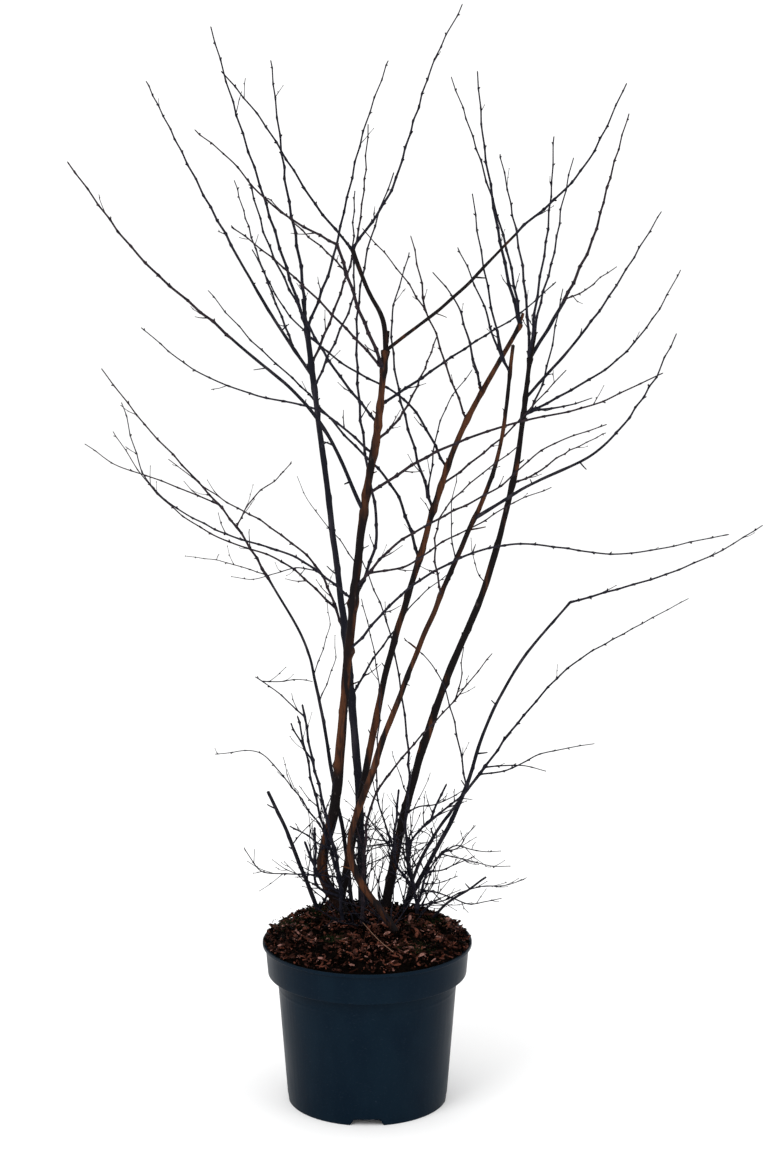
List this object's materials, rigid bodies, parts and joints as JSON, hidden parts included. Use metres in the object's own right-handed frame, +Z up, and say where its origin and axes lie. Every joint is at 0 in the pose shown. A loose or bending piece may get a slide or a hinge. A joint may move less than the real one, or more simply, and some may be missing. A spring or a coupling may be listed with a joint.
{
  "type": "potted bridal wreath spirea",
  "caption": "Leafless, many-stemmed shrub with long arching whips, standing in a round tapered plastic pot filled with mulched soil; it rests on the pot's flat underside.",
  "frame": {"origin": "middle of the pot's flat underside", "axes": "+Z up, +X to the right and +Y away from the viewer of the front"},
  "size_m": [1.231, 1.1211, 2.0654],
  "materials": {
    "pot": "dark blue-black moulded plastic with a satin sheen",
    "mulch": "dull red-brown bark chips over dark soil",
    "bark": "thin matte bark, red-brown with near-black patches",
    "twigs": "matte purple-brown young bark"
  },
  "bodies": {
    "root": {"pot": "pot", "soil": "mulch", "stem_left_front": "bark", "stem_left_back": "bark", "stem_centre": "bark", "stem_bent": "bark", "stem_right": "bark", "stem_arching": "bark", "stem_low_right": "bark", "stem_far_left": "bark", "stump_left": "bark", "stump_right": "bark", "bough_high_right": "bark", "twigs_high_right": "twigs", "bough_upper_left": "bark", "bough_long_left": "bark", "twigs_long_left": "twigs", "bough_back_left": "bark", "twigs_back_left": "twigs", "bough_far_right": "bark", "twigs_far_right": "twigs", "bough_right_high": "bark", "twigs_right_high": "twigs", "bough_right_out": "bark", "twigs_right_out": "twigs", "twigs_top": "twigs", "twigs_left_fork": "twigs", "twigs_mid_left": "twigs", "twigs_crossing_left": "twigs", "twigs_mid_right": "twigs", "twigs_front_right": "twigs", "twigs_upper_right": "twigs", "twigs_inner_right": "twigs", "twigs_inner_middle": "twigs", "twigs_inner_left": "twigs", "twigs_long_right": "twigs", "twigs_low_left": "twigs", "twigs_low_centre": "twigs", "twigs_back_low": "twigs", "twigs_back_side": "twigs", "twigs_back_top": "twigs", "twigs_back_inner": "twigs", "twigs_back_middle": "twigs", "twigs_centre_top": "twigs", "twigs_centre_left": "twigs", "twigs_centre_up": "twigs", "twigs_centre_back": "twigs", "twigs_centre_right": "twigs", "twigs_centre_spur": "twigs", "twigs_bent_top": "twigs", "twigs_bent_low": "twigs", "twigs_right_top": "twigs", "twigs_right_wide": "twigs", "twigs_right_back": "twigs", "twigs_arching": "twigs", "twigs_low_right": "twigs", "twigs_far_left": "twigs", "twigs_foot_left": "twigs", "twigs_foot_middle": "twigs", "twigs_foot_right": "twigs"}
  },
  "joints": []
}
